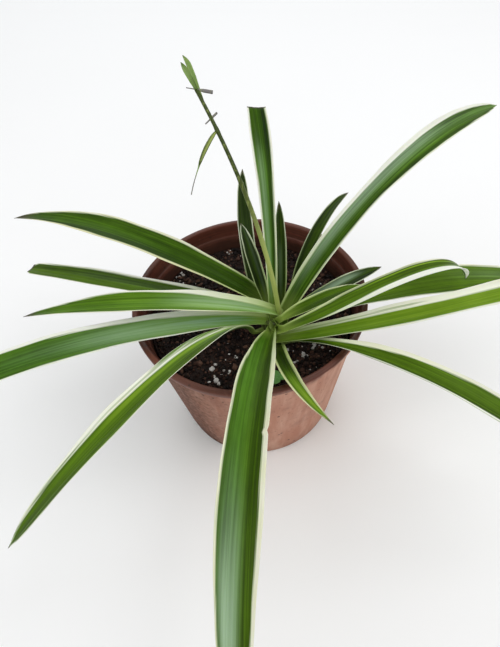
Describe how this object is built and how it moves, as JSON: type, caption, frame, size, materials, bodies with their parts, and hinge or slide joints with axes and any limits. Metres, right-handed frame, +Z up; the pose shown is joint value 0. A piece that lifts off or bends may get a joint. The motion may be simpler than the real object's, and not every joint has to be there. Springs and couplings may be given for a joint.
{
  "type": "potted spider plant",
  "caption": "Potted spider plant: arching green strap leaves with cream margins and a thin flower stalk, rising from a crown in dark potting mix in a tapered reddish-brown nursery pot.",
  "frame": {"origin": "centre of the underside of the pot, on the surface that it stands on", "axes": "+Z up out of the pot, +X to the right and +Y away from the viewer as the plant was pictured"},
  "size_m": [0.4057, 0.3141, 0.2113],
  "materials": {
    "pot": "satin",
    "soil": "matte",
    "crown": "satin",
    "leaf": "satin",
    "stalk": "satin",
    "seedling": "satin"
  },
  "bodies": {
    "root": {"pot": "pot", "soil": "soil", "crown": "crown", "leaf_upper_left": "leaf", "leaf_left_torn": "leaf", "leaf_left_middle": "leaf", "leaf_left_long": "leaf", "leaf_lower_left": "leaf", "leaf_front": "leaf", "leaf_front_short": "leaf", "leaf_right_lower": "leaf", "leaf_right": "leaf", "leaf_right_behind": "leaf", "leaf_right_hooked": "leaf", "leaf_right_dark": "leaf", "leaf_right_short": "leaf", "leaf_upper_right": "leaf", "leaf_back_right_dark": "leaf", "leaf_back_dark": "leaf", "leaf_back_cut": "leaf", "leaf_back_left_dark": "leaf", "leaf_back_left_short": "leaf", "flower_stalk": "stalk", "seedling": "seedling"}
  },
  "joints": []
}
